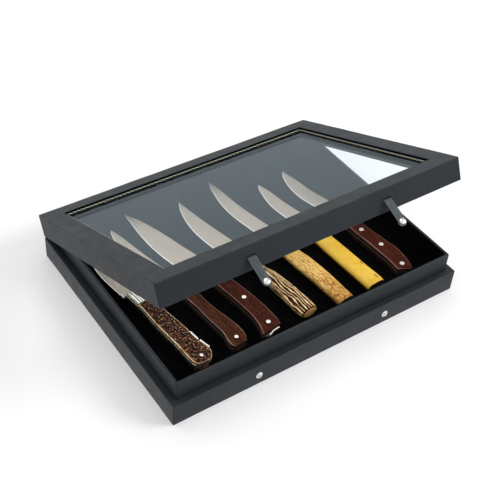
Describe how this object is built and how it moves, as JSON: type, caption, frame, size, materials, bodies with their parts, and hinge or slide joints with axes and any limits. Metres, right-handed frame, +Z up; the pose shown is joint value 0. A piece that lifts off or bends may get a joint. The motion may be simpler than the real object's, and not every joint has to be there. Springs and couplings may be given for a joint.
{
  "type": "knife display case",
  "caption": "Shallow leatherette-covered case with a hinged, glazed lid, two snap straps and a velvet tray that holds a row of hunting knives.",
  "frame": {"origin": "centre of the case's underside, on the surface that it stands on", "axes": "+X to the right along the case's long side, +Y from the straps at the front to the hinges at the back, +Z up"},
  "size_m": [0.4, 0.3201, 0.1806],
  "materials": {
    "leatherette": "satin",
    "board": "matte",
    "foam": "matte",
    "velvet": "matte",
    "glass": "polished",
    "gilt_bead": "satin",
    "strap_leather": "satin",
    "nickel": "polished",
    "liner_brass": "satin",
    "blade_steel": "satin",
    "brown_stag": "satin",
    "brown_wood": "satin",
    "red_wood": "satin",
    "pale_stag": "satin",
    "golden_stag": "satin",
    "yellow_bone": "gloss"
  },
  "bodies": {
    "base": {"plinth_rail_front": "leatherette", "plinth_rail_back": "leatherette", "plinth_rail_left": "leatherette", "plinth_rail_right": "leatherette", "bottom_board": "board", "tray_wall_front": "leatherette", "tray_wall_back": "leatherette", "tray_wall_left": "leatherette", "tray_wall_right": "leatherette", "foam_core": "foam", "velvet_pad": "velvet", "velvet_lining": "velvet", "snap_stud_left": "nickel", "snap_stud_right": "nickel", "base_hinge_leaf_left": "nickel", "base_hinge_leaf_right": "nickel", "hinge_pin_left": "nickel", "hinge_pin_right": "nickel", "knife_1_blade": "blade_steel", "knife_1_backspring": "blade_steel", "knife_1_upper_liner": "liner_brass", "knife_1_lower_liner": "liner_brass", "knife_1_upper_scale": "brown_stag", "knife_1_lower_scale": "brown_stag", "knife_2_blade": "blade_steel", "knife_2_upper_scale": "brown_wood", "knife_2_lower_scale": "brown_wood", "knife_3_blade": "blade_steel", "knife_3_upper_scale": "red_wood", "knife_3_lower_scale": "red_wood", "knife_4_blade": "blade_steel", "knife_4_bolster": "nickel", "knife_4_handle": "pale_stag", "knife_5_blade": "blade_steel", "knife_5_bolster": "nickel", "knife_5_handle": "golden_stag", "knife_6_blade": "blade_steel", "knife_6_handle": "yellow_bone", "knife_7_blade": "blade_steel", "knife_7_upper_scale": "red_wood", "knife_7_lower_scale": "red_wood"},
    "lid": {"lid_rail_front": "leatherette", "lid_rail_back": "leatherette", "lid_rail_left": "leatherette", "lid_rail_right": "leatherette", "glass_pane": "glass", "glass_bead": "gilt_bead", "glazing_frame": "velvet", "lid_hinge_leaf_left": "nickel", "lid_hinge_leaf_right": "nickel", "strap_tail_left": "strap_leather", "strap_tail_right": "strap_leather"},
    "left_strap": {"strap_left": "strap_leather", "snap_cap_left": "nickel", "snap_socket_left": "nickel"},
    "right_strap": {"strap_right": "strap_leather", "snap_cap_right": "nickel", "snap_socket_right": "nickel"}
  },
  "joints": [
    {"name": "lid_hinge", "type": "hinge", "parent": "base", "child": "lid", "pos_m": [0, 0.15551, 0.03015], "axis": [-1, 0, 0], "range_deg": [-23.8, 76.2]},
    {"name": "left_strap_bend", "type": "hinge", "parent": "lid", "child": "left_strap", "pos_m": [-0.09, -0.12199, 0.16823], "axis": [-1, 0, 0], "range_deg": [-37.5, 55]},
    {"name": "right_strap_bend", "type": "hinge", "parent": "lid", "child": "right_strap", "pos_m": [0.09, -0.12199, 0.16823], "axis": [-1, 0, 0], "range_deg": [-37.5, 55]}
  ]
}
